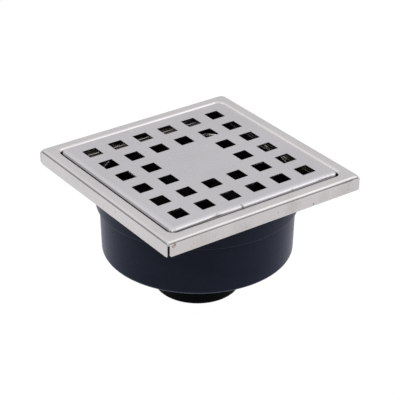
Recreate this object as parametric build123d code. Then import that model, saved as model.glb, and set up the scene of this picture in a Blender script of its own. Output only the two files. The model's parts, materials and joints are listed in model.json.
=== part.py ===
from build123d import *
import os
from math import cos, pi, radians, sin, tan

os.makedirs("parts", exist_ok=True)

# Square floor drain: a perforated grate lies in a folded steel pan, whose round collar
# plugs into a plastic drum. A bell hangs under a strainer in the drum, over a standpipe,
# and the water between them keeps sewer gas out. Millimetres, +Z up, and the origin is
# the centre of the outlet pipe's lower end.

# ---- sizes that the steel pan sets ----
FRAME_SIDE = 151.7          # outside of the pan's skirt
RIM_WIDTH = 9.15            # skirt's outside to the recess
PAN_SHEET = 0.8
PAN_CORNER = 1.6            # corners of the skirt, in plan
RIM_BEND = 1.5              # rim to skirt, outside
RIM_LIP = 2.1               # rim to recess, outside
RIM_DROP = 10.3             # rim's top to the skirt's lower edge
RECESS_DEPTH = 11.45        # rim's top to the ledge
RECESS_CORNER = 4.5
RECESS_BEND = 1.0           # recess wall to ledge, inside
LEDGE_WIDTH = 2.8           # ledge between the recess wall and the collar, at its narrowest
COLLAR_DEPTH = 9.0          # ledge to the collar's lower edge
COLLAR_BEND = 1.2
SLIT_WIDTH = 0.9            # open corner between two folded flanges
SLIT_START = 2.9            # below the rim's top
SLIT_REACH = 8.0            # along the diagonal
FLANGE_ROUND = 1.8          # lower corners of the flanges

# ---- grate ----
GRATE_GAP = 0.9             # all round, to the recess wall
GRATE_PROUD = 0.55          # above the rim
GRATE_SHEET = 1.2
GRATE_BEND = 2.1
GRATE_CORNER = 4.2
HOLE_SIDE = 10.5
HOLE_PITCH = 20.0
HOLE_ROWS = 6
HOLE_CORNER = 0.35
HOLE_BREAK = 0.2            # broken top edge of each hole
BLIND_ROWS = 2              # rows and columns left out in the middle
NICK_PLACE = -10.8          # shallow nick across the front bend
NICK_WIDTH = 0.55
NICK_DEPTH = 0.45
NICK_LENGTH = 3.2

# ---- rubber buffers under the grate's corners ----
BUFFER_SIDE = 12.2
BUFFER_HEIGHT = 4.4
BUFFER_EDGE = 0.5

# ---- drum and its ring ----
PAN_SEAL_WALL = 1.2         # rubber sleeve between the collar and the ring
RING_WALL = 2.1             # at the ring's lower edge
RING_FLARE = 4.0            # degrees
RING_LAP = 6.0              # ring below the drum's top
RING_EDGE = 1.0
LAP_STEP = 0.7              # sleeve's bore to the drum's socket
LAP_GAP = 0.1
LAP_SHOULDER = 0.45         # drum's outside beyond its lap
DRUM_HEIGHT = 41.2
DRUM_DRAFT = 1.5            # degrees
DRUM_WALL = 3.35            # at the lap
DRUM_FLOOR = 3.2
DRUM_EDGE = 2.5
DRUM_TO_LEDGE = 10.0        # drum's top to the pan's ledge
BOSS_HEIGHT = 6.2           # socket of the outlet pipe, above the floor
BOSS_WALL = 3.0
CORD_WIDTH = 2.4            # width and depth of the O-rings' grooves
CORD_DEPTH = 1.4
CORD_EDGE = 0.4             # bevel of the cords' edges

# ---- outlet pipe and standpipe ----
PIPE_RADIUS = 29.1
PIPE_WALL = 2.8
PIPE_LENGTH = 30.0          # below the drum
PIPE_STEP = 0.6             # shoulder at the drum's underside, and the chamfer over it
PIPE_LEAD = 1.0             # chamfer at the pipe's lower end
PIPE_ABOVE_BOSS = 2.0
PLUG_GAP = 0.3              # standpipe in the outlet pipe
PLUG_LENGTH = 7.0
ORING_GAP = 0.05            # running clearance of the standpipe's O-ring
STANDPIPE_WALL = 3.6
STANDPIPE_FLANGE = 2.5      # height and reach of its stop flange
WEIR_ROUND = 1.2            # rounded upper edge

# ---- strainer, bell and their screw ----
SEAT_GAP = 0.1              # between parts that rest on each other and lift off
FLANGE_GAP = 0.6            # strainer in the collar
FLANGE_THICK = 1.8
FLANGE_ROLL = 0.5
STRAINER_SEAL = 1.4
STRAINER_SEAL_WIDTH = 2.6
STRAINER_SEAL_EDGE = 0.35
DISH_GAP = 2.75             # strainer's wall to the drum
DISH_SLOPE = 2.5            # wall's lean from top to bottom
DISH_DEPTH = 6.3
DISH_FLOOR = 2.0
SIEVE_HOLE = 4.5
SIEVE_PITCH = 8.6
SIEVE_RINGS = 2
BELL_GAP = 8.9              # outlet pipe's outside to the bell
BELL_WALL = 2.2
BELL_EDGE = 2.4
BELL_LIP = 0.55             # rounded lower edge
BELL_FOOT = 4.5             # drum's floor to the bell's lower edge
WEIR_GAP = 5.3              # standpipe's top to the bell
GASKET_THICK = 1.0
GASKET_RADIUS = 14.0
SCREW_RADIUS = 2.0
SCREW_BITE = 8.0            # in the knob
SCREW_GAP = 0.25            # in the bell, gasket and strainer
HEAD_RADIUS = 3.8
HEAD_HEIGHT = 2.4
HEAD_EDGE = 0.8
CROSS_WIDTH = 0.9           # cross recess in the screw's head
CROSS_DEPTH = 1.3
WASHER_RADIUS = 6.0
WASHER_THICK = 1.0
KNOB_RADIUS = 10.0
KNOB_WAIST = 5.4
KNOB_HEIGHT = 12.0
KNOB_HEAD = 4.6
KNOB_EDGE = 1.4

# ---- the pan's own levels, from its ledge ----
PAN_RIM = RECESS_DEPTH
PAN_SKIRT = PAN_RIM - RIM_DROP
PAN_UNDER = -PAN_SHEET
PAN_COLLAR = -COLLAR_DEPTH

# ---- levels, from the pipe's lower end up ----
DRUM_BASE = PIPE_LENGTH
FLOOR_TOP = DRUM_BASE + DRUM_FLOOR
BOSS_TOP = FLOOR_TOP + BOSS_HEIGHT
PIPE_TOP = BOSS_TOP + PIPE_ABOVE_BOSS
DRUM_TOP = DRUM_BASE + DRUM_HEIGHT
RING_BASE = DRUM_TOP - RING_LAP
LEDGE_TOP = DRUM_TOP + DRUM_TO_LEDGE
RING_TOP = LEDGE_TOP + PAN_UNDER
COLLAR_BASE = LEDGE_TOP + PAN_COLLAR
RIM_TOP = LEDGE_TOP + PAN_RIM
GRATE_TOP = RIM_TOP + GRATE_PROUD
GRATE_BASE = LEDGE_TOP + BUFFER_HEIGHT + SEAT_GAP
SEAL_BASE = DRUM_TOP + SEAT_GAP
FLANGE_BASE = SEAL_BASE + STRAINER_SEAL
FLANGE_TOP = FLANGE_BASE + FLANGE_THICK
DISH_TOP = FLANGE_TOP - DISH_DEPTH
DISH_BASE = DISH_TOP - DISH_FLOOR
BELL_TOP = DISH_BASE - GASKET_THICK
BELL_CEILING = BELL_TOP - BELL_WALL
BELL_BASE = FLOOR_TOP + BELL_FOOT
WASHER_BASE = BELL_CEILING - WASHER_THICK
WEIR_TOP = BELL_CEILING - WEIR_GAP
STOP_BASE = PIPE_TOP + SEAT_GAP
PLUG_BASE = STOP_BASE - PLUG_LENGTH

# ---- radii and half widths, from the pan inwards ----
RECESS_HALF = FRAME_SIDE / 2 - RIM_WIDTH
GRATE_SIDE = 2 * (RECESS_HALF - GRATE_GAP)
COLLAR_BORE = RECESS_HALF - LEDGE_WIDTH
COLLAR_RADIUS = COLLAR_BORE + PAN_SHEET
SLEEVE_RADIUS = COLLAR_RADIUS + PAN_SEAL_WALL
RING_RADIUS = SLEEVE_RADIUS + RING_WALL
SOCKET_RADIUS = SLEEVE_RADIUS - LAP_STEP
LAP_RADIUS = SOCKET_RADIUS - LAP_GAP
DRUM_RADIUS = LAP_RADIUS + LAP_SHOULDER
DRUM_BORE = LAP_RADIUS - DRUM_WALL
FLANGE_RADIUS = COLLAR_BORE - FLANGE_GAP
DISH_RADIUS = DRUM_BORE - DISH_GAP
DISH_BORE = DISH_RADIUS - FLANGE_THICK
PIPE_BORE = PIPE_RADIUS - PIPE_WALL
PIPE_SOCKET = PIPE_RADIUS - PIPE_STEP
PLUG_RADIUS = PIPE_BORE - PLUG_GAP
STANDPIPE_BORE = PLUG_RADIUS - STANDPIPE_WALL
BELL_BORE = PIPE_RADIUS + BELL_GAP
BELL_RADIUS = BELL_BORE + BELL_WALL
DRAFT = tan(radians(DRUM_DRAFT))
OVERRUN = 1.0               # how far a cut runs past the face it opens
TOUCH = 0.001               # lengths closer than this count as the same


def turned(*outline):
    """Solid turned about Z from the (radius, height) corners of its section."""
    section = make_face(Polyline([(r, 0, z) for r, z in outline], close=True))
    return revolve(section, Axis.Z)


def tube(radius, bore, low, high):
    return turned((bore, low), (radius, low), (radius, high), (bore, high))


def cord_ring(radius, bore, middle):
    """Rubber cord that fills a groove between two radii, with bevelled edges."""
    low = middle - CORD_WIDTH / 2
    high = middle + CORD_WIDTH / 2
    return turned((bore + CORD_EDGE, low), (radius - CORD_EDGE, low), (radius, low + CORD_EDGE),
                  (radius, high - CORD_EDGE), (radius - CORD_EDGE, high), (bore + CORD_EDGE, high),
                  (bore, high - CORD_EDGE), (bore, low + CORD_EDGE))


def disc(radius, low, high):
    return Pos(0, 0, low) * extrude(Circle(radius), high - low)


def slab(side, corner, low, high):
    """Upright square block with rounded corners."""
    return Pos(0, 0, low) * extrude(RectangleRounded(side, side, corner), high - low)


def edges_between(solid, low, high):
    """The edges that lie wholly between two levels."""
    return solid.edges().filter_by(lambda e: low <= e.bounding_box().min.Z
                                   and e.bounding_box().max.Z <= high)


def edges_at(solid, level):
    return edges_between(solid, level - TOUCH, level + TOUCH)


def circles_at(solid, radius, level):
    """Full circles of one radius at one level."""
    return edges_at(solid, level).filter_by(GeomType.CIRCLE).filter_by(
        lambda e: abs(e.radius - radius) < TOUCH)


def quarters(x, y):
    """The four corner places that mirror one."""
    return [(sx * x, sy * y) for sx in (-1, 1) for sy in (-1, 1)]


def folded_hat():
    """Skirt and rim, bent down from one square sheet, before the recess is pressed in."""
    outside = slab(FRAME_SIDE, PAN_CORNER, PAN_SKIRT, PAN_RIM)
    outside = fillet(edges_at(outside, PAN_RIM), RIM_BEND)
    inside = slab(FRAME_SIDE - 2 * PAN_SHEET, PAN_CORNER - PAN_SHEET,
                  PAN_SKIRT - OVERRUN, PAN_RIM - PAN_SHEET)
    inside = fillet(edges_at(inside, PAN_RIM - PAN_SHEET), RIM_BEND - PAN_SHEET)
    return outside - inside


def corner_slits():
    """Cutters for the open corners, one on each diagonal."""
    height = PAN_RIM - SLIT_START - PAN_SKIRT + OVERRUN
    centre = FRAME_SIDE / 2 - PAN_CORNER / 2
    slits = []
    for x, y in quarters(centre, centre):
        turn = 45 if x * y > 0 else -45
        slit = Rot(0, 0, turn) * Box(SLIT_REACH, SLIT_WIDTH, height)
        slits.append(Pos(x, y, PAN_SKIRT - OVERRUN + height / 2) * slit)
    return slits


def flange_rounds():
    """Cutters that round the lower corners of the four flanges."""
    size = 2 * FLANGE_ROUND
    round_off = Box(size, 2 * (PAN_SHEET + OVERRUN), size)
    round_off -= Pos(FLANGE_ROUND, 0, FLANGE_ROUND) * Rot(90, 0, 0) * Cylinder(FLANGE_ROUND, size)
    half = FRAME_SIDE / 2
    left_end = Pos(-half, -half, PAN_SKIRT) * round_off
    ends = [left_end, mirror(left_end, about=Plane.YZ)]
    return [Rot(0, 0, 90 * side) * end for side in range(4) for end in ends]


def recess_edges(pan, level):
    """The edges round the recess at one level, without those of the skirt."""
    reach = RECESS_HALF + 1.5 * PAN_SHEET
    return edges_at(pan, level).filter_by(lambda e: max(abs(e.center().X), abs(e.center().Y)) < reach)


def frame_pan():
    """The pan, shaped about its ledge and then raised to it."""
    well_side = 2 * RECESS_HALF
    well = slab(well_side + 2 * PAN_SHEET, RECESS_CORNER + PAN_SHEET, PAN_UNDER, PAN_RIM)
    well = fillet(edges_at(well, PAN_UNDER), RECESS_BEND + PAN_SHEET)
    hollow = slab(well_side, RECESS_CORNER, 0, PAN_RIM + OVERRUN)
    hollow = fillet(edges_at(hollow, 0), RECESS_BEND)
    pan = folded_hat() + well + disc(COLLAR_RADIUS, PAN_COLLAR, 0)
    pan -= hollow
    pan -= disc(COLLAR_BORE, PAN_COLLAR - OVERRUN, OVERRUN)
    pan = fillet(circles_at(pan, COLLAR_BORE, 0), COLLAR_BEND)
    pan = fillet(recess_edges(pan, PAN_RIM - PAN_SHEET), RIM_LIP - PAN_SHEET)
    pan = fillet(recess_edges(pan, PAN_RIM), RIM_LIP)
    pan = pan - corner_slits() - flange_rounds()
    return Pos(0, 0, LEDGE_TOP) * pan


def hole_places():
    """Centres of the grate's holes, with the middle of the grid left blind."""
    middle = (HOLE_ROWS - 1) / 2
    steps = [i - middle for i in range(HOLE_ROWS)]
    return [(i * HOLE_PITCH, j * HOLE_PITCH) for i in steps for j in steps
            if max(abs(i), abs(j)) > BLIND_ROWS / 2]


def hole_cutter():
    """Square punch that also breaks the hole's upper edge."""
    low = GRATE_TOP - GRATE_SHEET - OVERRUN
    punch = slab(HOLE_SIDE, HOLE_CORNER, low, GRATE_TOP + OVERRUN)
    start = Pos(0, 0, GRATE_TOP - HOLE_BREAK) * RectangleRounded(HOLE_SIDE, HOLE_SIDE, HOLE_CORNER)
    mouth_side = HOLE_SIDE + 2 * HOLE_BREAK
    mouth = Pos(0, 0, GRATE_TOP) * RectangleRounded(mouth_side, mouth_side, HOLE_CORNER + HOLE_BREAK)
    return punch + loft([start, mouth])


def grate_plate():
    outside = slab(GRATE_SIDE, GRATE_CORNER, GRATE_BASE, GRATE_TOP)
    outside = fillet(edges_at(outside, GRATE_TOP), GRATE_BEND)
    under = GRATE_TOP - GRATE_SHEET
    inside = slab(GRATE_SIDE - 2 * GRATE_SHEET, GRATE_CORNER - GRATE_SHEET,
                  GRATE_BASE - OVERRUN, under)
    inside = fillet(edges_at(inside, under), GRATE_BEND - GRATE_SHEET)
    cutter = hole_cutter()
    plate = outside - inside
    plate -= [Pos(x, y, 0) * cutter for x, y in hole_places()]
    nick = Rot(45, 0, 0) * Box(NICK_WIDTH, NICK_LENGTH, 2 * NICK_DEPTH)
    bend_centre = GRATE_SIDE / 2 - GRATE_BEND
    reach = GRATE_BEND * cos(pi / 4)
    return plate - Pos(NICK_PLACE, -bend_centre - reach, GRATE_TOP - GRATE_BEND + reach) * nick


def buffer_pad(x_sign, y_sign):
    """Rubber pad in one corner of the recess, rounded to fit the corner."""
    outer = RECESS_HALF - RECESS_BEND - SEAT_GAP
    centre = outer - BUFFER_SIDE / 2
    pad = Box(BUFFER_SIDE, BUFFER_SIDE, BUFFER_HEIGHT)
    post = pad.edges().filter_by(Axis.Z).sort_by(lambda e: x_sign * e.center().X + y_sign * e.center().Y)
    pad = fillet(post[-1], RECESS_CORNER)
    pad = fillet(pad.faces().sort_by(Axis.Z)[-1].edges(), BUFFER_EDGE)
    return Pos(x_sign * centre, y_sign * centre, LEDGE_TOP + BUFFER_HEIGHT / 2) * pad


def pan_seal():
    return tube(SLEEVE_RADIUS, COLLAR_RADIUS, DRUM_TOP, RING_TOP)


def drum_ring():
    """Ring that joins the pan's collar, above, to the drum, below."""
    top_radius = RING_RADIUS + tan(radians(RING_FLARE)) * (RING_TOP - RING_BASE)
    ring = turned((SOCKET_RADIUS, RING_BASE), (RING_RADIUS, RING_BASE), (top_radius, RING_TOP),
                  (SLEEVE_RADIUS, RING_TOP), (SLEEVE_RADIUS, DRUM_TOP), (SOCKET_RADIUS, DRUM_TOP))
    return fillet(circles_at(ring, RING_RADIUS, RING_BASE), RING_EDGE)


def drum_body():
    base_radius = DRUM_RADIUS - DRAFT * (RING_BASE - DRUM_BASE)
    base_bore = DRUM_BORE - DRAFT * (DRUM_TOP - FLOOR_TOP)
    boss_radius = PIPE_SOCKET + BOSS_WALL
    drum = turned((PIPE_RADIUS, DRUM_BASE), (base_radius, DRUM_BASE), (DRUM_RADIUS, RING_BASE),
                  (LAP_RADIUS, RING_BASE), (LAP_RADIUS, DRUM_TOP), (DRUM_BORE, DRUM_TOP),
                  (base_bore, FLOOR_TOP), (boss_radius, FLOOR_TOP), (boss_radius, BOSS_TOP),
                  (PIPE_SOCKET, BOSS_TOP), (PIPE_SOCKET, DRUM_BASE + PIPE_STEP))
    drum = fillet(circles_at(drum, base_radius, DRUM_BASE), DRUM_EDGE)
    drum = fillet(circles_at(drum, base_bore, FLOOR_TOP), DRUM_EDGE)
    return drum - ring_oring()


def ring_oring():
    """Rubber cord in the drum's groove, against the ring's socket."""
    return cord_ring(SOCKET_RADIUS, LAP_RADIUS - CORD_DEPTH, RING_BASE + RING_LAP / 2)


def outlet_pipe():
    pipe = turned((PIPE_BORE, 0), (PIPE_RADIUS, 0), (PIPE_RADIUS, DRUM_BASE), (PIPE_SOCKET, DRUM_BASE),
                  (PIPE_SOCKET, PIPE_TOP), (PIPE_BORE, PIPE_TOP))
    return chamfer(circles_at(pipe, PIPE_RADIUS, 0), PIPE_LEAD)


def standpipe_groove():
    return STOP_BASE - PLUG_LENGTH / 2


def standpipe():
    stop_radius = PLUG_RADIUS + STANDPIPE_FLANGE
    stop_top = STOP_BASE + STANDPIPE_FLANGE
    pipe = turned((STANDPIPE_BORE, PLUG_BASE), (PLUG_RADIUS, PLUG_BASE), (PLUG_RADIUS, STOP_BASE),
                  (stop_radius, STOP_BASE), (stop_radius, stop_top), (PLUG_RADIUS, stop_top),
                  (PLUG_RADIUS, WEIR_TOP), (STANDPIPE_BORE, WEIR_TOP))
    pipe = fillet(edges_at(pipe, WEIR_TOP), WEIR_ROUND)
    middle = standpipe_groove()
    groove = tube(PLUG_RADIUS + OVERRUN, PLUG_RADIUS - CORD_DEPTH,
                  middle - CORD_WIDTH / 2, middle + CORD_WIDTH / 2)
    return pipe - groove


def standpipe_oring():
    return cord_ring(PIPE_BORE - ORING_GAP, PLUG_RADIUS - CORD_DEPTH, standpipe_groove())


def sieve_places():
    """Holes in rings between the bell's outside and the edge of the strainer's floor."""
    floor_radius = DISH_BORE - DISH_SLOPE
    band = (floor_radius - BELL_RADIUS) / SIEVE_RINGS
    places = []
    for ring in range(SIEVE_RINGS):
        radius = BELL_RADIUS + band * (ring + 0.5)
        count = int(2 * pi * radius / SIEVE_PITCH)
        for step in range(count):
            angle = 2 * pi * (step + ring / 2) / count
            places.append((radius * cos(angle), radius * sin(angle)))
    return places


def hair_strainer():
    """Shallow dish whose flange rests in the drum's mouth."""
    dish = turned((SCREW_RADIUS + SCREW_GAP, DISH_BASE), (DISH_RADIUS - DISH_SLOPE, DISH_BASE),
                  (DISH_RADIUS, FLANGE_BASE), (FLANGE_RADIUS, FLANGE_BASE), (FLANGE_RADIUS, FLANGE_TOP),
                  (DISH_BORE, FLANGE_TOP), (DISH_BORE - DISH_SLOPE, DISH_TOP),
                  (SCREW_RADIUS + SCREW_GAP, DISH_TOP))
    dish = fillet(circles_at(dish, FLANGE_RADIUS, FLANGE_TOP), FLANGE_ROLL)
    hole = disc(SIEVE_HOLE / 2, DISH_BASE - OVERRUN, DISH_TOP + OVERRUN)
    return dish - [Pos(x, y, 0) * hole for x, y in sieve_places()]


def strainer_seal():
    ring = tube(FLANGE_RADIUS, FLANGE_RADIUS - STRAINER_SEAL_WIDTH, SEAL_BASE, FLANGE_BASE)
    return fillet(edges_at(ring, SEAL_BASE), STRAINER_SEAL_EDGE)


def bell_cup():
    """Inverted cup that hangs over the standpipe."""
    hole = SCREW_RADIUS + SCREW_GAP
    bell = turned((hole, BELL_TOP), (BELL_RADIUS, BELL_TOP), (BELL_RADIUS, BELL_BASE),
                  (BELL_BORE, BELL_BASE), (BELL_BORE, BELL_CEILING), (hole, BELL_CEILING))
    bell = fillet(circles_at(bell, BELL_RADIUS, BELL_TOP), BELL_EDGE)
    return fillet(edges_at(bell, BELL_BASE), BELL_LIP)


def bell_gasket():
    return tube(GASKET_RADIUS, SCREW_RADIUS + SCREW_GAP, BELL_TOP, DISH_BASE)


def lift_knob():
    """Mushroom knob, with the screw's blind hole in its foot."""
    top = DISH_TOP + KNOB_HEIGHT
    under = top - KNOB_HEAD
    knob = turned((0, DISH_TOP), (KNOB_WAIST, DISH_TOP), (KNOB_WAIST, under), (KNOB_RADIUS, under),
                  (KNOB_RADIUS, top), (0, top))
    knob = fillet(circles_at(knob, KNOB_RADIUS, top) + circles_at(knob, KNOB_RADIUS, under), KNOB_EDGE)
    return knob - disc(SCREW_RADIUS, DISH_TOP - OVERRUN, DISH_TOP + SCREW_BITE)


def knob_screw():
    """Pan-head screw, driven up from inside the bell."""
    head_base = WASHER_BASE - HEAD_HEIGHT
    head = disc(HEAD_RADIUS, head_base, WASHER_BASE)
    head = fillet(circles_at(head, HEAD_RADIUS, head_base), HEAD_EDGE)
    screw = head + disc(SCREW_RADIUS, WASHER_BASE, DISH_TOP + SCREW_BITE)
    bar = Pos(0, 0, head_base + CROSS_DEPTH / 2) * Box(HEAD_RADIUS, CROSS_WIDTH, CROSS_DEPTH)
    return screw - bar - Rot(0, 0, 90) * bar


def screw_washer():
    return tube(WASHER_RADIUS, SCREW_RADIUS + SCREW_GAP, WASHER_BASE, BELL_CEILING)


NODES = {
    "frame_pan": frame_pan,
    "pan_seal": pan_seal,
    "drum_ring": drum_ring,
    "ring_oring": ring_oring,
    "drum_body": drum_body,
    "outlet_pipe": outlet_pipe,
    "standpipe": standpipe,
    "standpipe_oring": standpipe_oring,
    "grate_plate": grate_plate,
    "hair_strainer": hair_strainer,
    "strainer_seal": strainer_seal,
    "bell_cup": bell_cup,
    "bell_gasket": bell_gasket,
    "lift_knob": lift_knob,
    "knob_screw": knob_screw,
    "screw_washer": screw_washer,
}
BUFFERS = {"front": (-1, -1), "right": (1, -1), "back": (1, 1), "left": (-1, 1)}

for name, make in NODES.items():
    export_step(make(), f"parts/{name}.step")
for corner, signs in BUFFERS.items():
    export_step(buffer_pad(*signs), f"parts/buffer_{corner}.step")
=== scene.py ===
# %% [markdown]
# # A stainless floor drain
#
# The drain is a folded square pan with a perforated grate lying in it. Under the pan hangs a
# round plastic drum with a water trap inside. CAD made every piece at its real size. This
# lesson gives the pieces their finish: satin steel, moulded plastic and rubber.
#
# The first cell loads the CAD model as a fixed frame. Nothing that CAD made is moved here. A
# piece that needs a finer mesh is made again in the same place, and it stands for the CAD one.

# %% Load the frame
import json
import math

import bmesh
import bpy
from mathutils import Matrix, Vector


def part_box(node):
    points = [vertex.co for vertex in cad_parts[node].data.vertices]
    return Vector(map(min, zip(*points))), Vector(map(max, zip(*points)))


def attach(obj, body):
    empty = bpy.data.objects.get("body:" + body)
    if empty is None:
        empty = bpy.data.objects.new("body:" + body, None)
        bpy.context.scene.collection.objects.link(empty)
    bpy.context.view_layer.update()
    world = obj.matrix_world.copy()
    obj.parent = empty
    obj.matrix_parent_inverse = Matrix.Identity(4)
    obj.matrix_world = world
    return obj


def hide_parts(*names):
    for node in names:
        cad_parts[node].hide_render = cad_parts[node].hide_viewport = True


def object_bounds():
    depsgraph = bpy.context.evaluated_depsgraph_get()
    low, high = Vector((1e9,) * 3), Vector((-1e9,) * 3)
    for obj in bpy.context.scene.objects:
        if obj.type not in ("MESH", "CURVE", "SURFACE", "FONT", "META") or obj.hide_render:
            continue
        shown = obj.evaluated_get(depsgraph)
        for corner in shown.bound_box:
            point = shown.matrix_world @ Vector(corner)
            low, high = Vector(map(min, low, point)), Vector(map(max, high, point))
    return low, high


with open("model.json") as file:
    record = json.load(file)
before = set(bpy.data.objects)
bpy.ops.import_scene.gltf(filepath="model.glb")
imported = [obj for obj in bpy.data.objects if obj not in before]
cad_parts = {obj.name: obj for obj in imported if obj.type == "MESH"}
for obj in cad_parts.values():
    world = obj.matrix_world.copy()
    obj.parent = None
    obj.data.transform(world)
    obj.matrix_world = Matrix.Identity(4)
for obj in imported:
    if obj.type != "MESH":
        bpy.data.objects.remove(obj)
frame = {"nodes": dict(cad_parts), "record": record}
cad_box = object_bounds()
MM = 0.001
print("CAD pieces:", len(frame["nodes"]))
print("CAD box in mm:", [round((high - low) / MM, 1) for low, high in zip(*cad_box)])

# %% [markdown]
# ## Measures
#
# A fitter would measure the real drain with calipers. Only what a box can't tell, such as a
# sheet's thickness or a bend's radius, is written down as a number.

# %% Measure the pieces
pan_low, pan_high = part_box("frame_pan")
grate_low, grate_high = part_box("grate_plate")
ring_low, ring_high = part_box("drum_ring")
drum_low, drum_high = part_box("drum_body")
pipe_low, pipe_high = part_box("outlet_pipe")
sleeve_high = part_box("pan_seal")[1]
ledge_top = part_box("buffer_front")[0].z
frame_half = pan_high.x
rim_top = pan_high.z
grate_half = grate_high.x
print("frame", round(2 * frame_half / MM, 1), "mm, grate", round(2 * grate_half / MM, 1), "mm")
print("drum", round(2 * drum_high.x / MM, 1), "mm, outlet", round(2 * pipe_high.x / MM, 1), "mm")

# %% [markdown]
# ## A square sheet, column by column
#
# Both steel pieces are one sheet whose edge is bent down all round. Such a sheet could be a
# bevelled cube, but then the bend is the same everywhere, and a real press leaves it a little
# uneven. So the sheet is drawn as rows of points, one row above the other, on columns that run
# round the square. Each column knows its side, its place along that side, and how far it has
# turned into the corner. A later step can then bend one stretch more than another.

# %% Columns round a square
CORNER_TURNS = (6, 13, 21, 29, 37, 45, 53, 61, 69, 77, 84)


def columns_round(places):
    """(side, place from -1 to 1 along the side, degrees turned into the corner) of each column."""
    columns = []
    for side in range(4):
        columns += [(side, place, 0) for place in places]
        columns += [(side, 1, turn) for turn in CORNER_TURNS]
    return columns


def corner_point(column, half, straight, height):
    """A column's point on a rounded square, given half its side and half its straight part."""
    side, place, turn = column
    radius = half - straight
    angle = math.radians(turn)
    x = place * straight + radius * math.sin(angle)
    y = -straight - radius * math.cos(angle)
    for _ in range(side):
        x, y = -y, x
    return Vector((x, y, height))


def by_side(column, near, far):
    """A measure that differs on the near sides, front and left, and turns evenly at the corners."""
    of_side = (near, far, far, near)
    side, _, turn = column
    return of_side[side] + (of_side[(side + 1) % 4] - of_side[side]) * turn / 90


def row_of_points(columns, half, straight, height):
    """One row round the square. Each measure is a value, or a function that gives it for a column."""
    def at(measure, column):
        return measure(column) if callable(measure) else measure
    return [corner_point(c, at(half, c), at(straight, c), at(height, c)) for c in columns]


print("columns in one corner:", len(CORNER_TURNS))

# %% [markdown]
# ## From rows of points to a piece
#
# Two neighbouring rows make a strip of four-sided faces. The strips are one thin skin, which a
# Solidify modifier gives its thickness, as the real sheet has, and a Bevel modifier takes the
# sharpness off the cut edges. Every new piece rides on the body of the CAD piece that it
# stands for, so it follows when the drain is taken apart.

# %% Helpers that turn rows into pieces
MERGE_WITHIN = 0.001 * MM
SHARP_TURN = 40


def skin_rows(mesh, rows, keep=lambda row, column: True):
    """Adds closed strips of faces between rows of points, and leaves out the faces not kept."""
    count = len(rows[0])
    verts = [[mesh.verts.new(point) for point in row] for row in rows]
    for i in range(len(rows) - 1):
        for j in range(count):
            k = (j + 1) % count
            if keep(i, j):
                mesh.faces.new((verts[i][j], verts[i][k], verts[i + 1][k], verts[i + 1][j]))


def finish_piece(name, mesh, material, body, stands_for, sheet=0.0, edge=0.0):
    """Makes an object of the mesh, with its modifiers, material and body."""
    bmesh.ops.remove_doubles(mesh, verts=mesh.verts, dist=MERGE_WITHIN)
    data = bpy.data.meshes.new(name)
    mesh.to_mesh(data)
    mesh.free()
    data.shade_smooth()
    data.materials.append(material)
    piece = bpy.data.objects.new(name, data)
    bpy.context.scene.collection.objects.link(piece)
    if sheet:
        thick = piece.modifiers.new("sheet", "SOLIDIFY")
        thick.thickness = sheet
        thick.offset = -1
    if edge:
        soft = piece.modifiers.new("broken edges", "BEVEL")
        soft.width = edge
        soft.segments = 2
        soft.limit_method = "ANGLE"
        soft.angle_limit = math.radians(SHARP_TURN)
        soft.use_clamp_overlap = True
    piece.modifiers.new("flat faces stay flat", "WEIGHTED_NORMAL")
    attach(piece, body)
    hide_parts(stands_for)
    print(name, "has", len(data.polygons), "faces before its modifiers")


# %% [markdown]
# ## Small steps for materials
#
# A material here is a chain of nodes. The helper below adds one node, sets its inputs, and
# links an input when it is given another node's socket. All patterns are read at the object's
# own coordinates, in metres, so a mark stays where it is on the steel when the piece moves.

# %% Helpers that build node materials
def node(tree, kind, inputs=None, **settings):
    """Adds one node. An input is named or numbered, and is a value or a socket to link."""
    made = tree.nodes.new(kind)
    for name, value in settings.items():
        setattr(made, name, value)
    for name, value in (inputs or {}).items():
        if isinstance(value, bpy.types.NodeSocket):
            tree.links.new(value, made.inputs[name])
        else:
            made.inputs[name].default_value = value
    return made


def remap(tree, value, low, high, to_low, to_high):
    """Carries a value from one range to another, smoothly and clamped."""
    inputs = {"Value": value, "From Min": low, "From Max": high, "To Min": to_low, "To Max": to_high}
    return node(tree, "ShaderNodeMapRange", inputs, interpolation_type="SMOOTHSTEP").outputs[0]


def math_step(tree, operation, a, b):
    """One step of arithmetic on two values."""
    return node(tree, "ShaderNodeMath", {0: a, 1: b}, operation=operation).outputs[0]


def stretched(tree, coords, scale):
    """Coordinates stretched by a scale for each axis."""
    return node(tree, "ShaderNodeVectorMath", {0: coords, 1: scale}, operation="MULTIPLY").outputs[0]


def clouds(tree, coords, scale, detail=3.0):
    """Soft noise, with about so many blotches to the metre."""
    inputs = {"Vector": coords, "Scale": scale, "Detail": detail}
    return node(tree, "ShaderNodeTexNoise", inputs).outputs[0]


def blended(tree, amount, plain, mark):
    """Mixes a mark's colour over the plain one."""
    made = node(tree, "ShaderNodeMix", {"Factor": amount}, data_type="RGBA")
    for socket, value in zip((made.inputs[6], made.inputs[7]), (plain, mark)):
        if isinstance(value, bpy.types.NodeSocket):
            tree.links.new(value, socket)
        else:
            socket.default_value = (*value, 1)
    return made.outputs[2]


def shade(tone, share):
    """A tone made darker or lighter."""
    return tuple(share * c for c in tone)


def new_material(name):
    """A material with its tree, its shader and the object's coordinates."""
    material = bpy.data.materials.new(name)
    material.use_nodes = True
    tree = material.node_tree
    shader = tree.nodes["Principled BSDF"]
    coords = node(tree, "ShaderNodeTexCoord").outputs["Object"]
    return material, tree, shader, coords


def wire(tree, shader, colour, rough, bump):
    """Gives a shader the three patterns that every finish here has."""
    tree.links.new(colour, shader.inputs["Base Color"])
    tree.links.new(rough, shader.inputs["Roughness"])
    tree.links.new(bump.outputs[0], shader.inputs["Normal"])


print("node helpers are ready")

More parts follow.
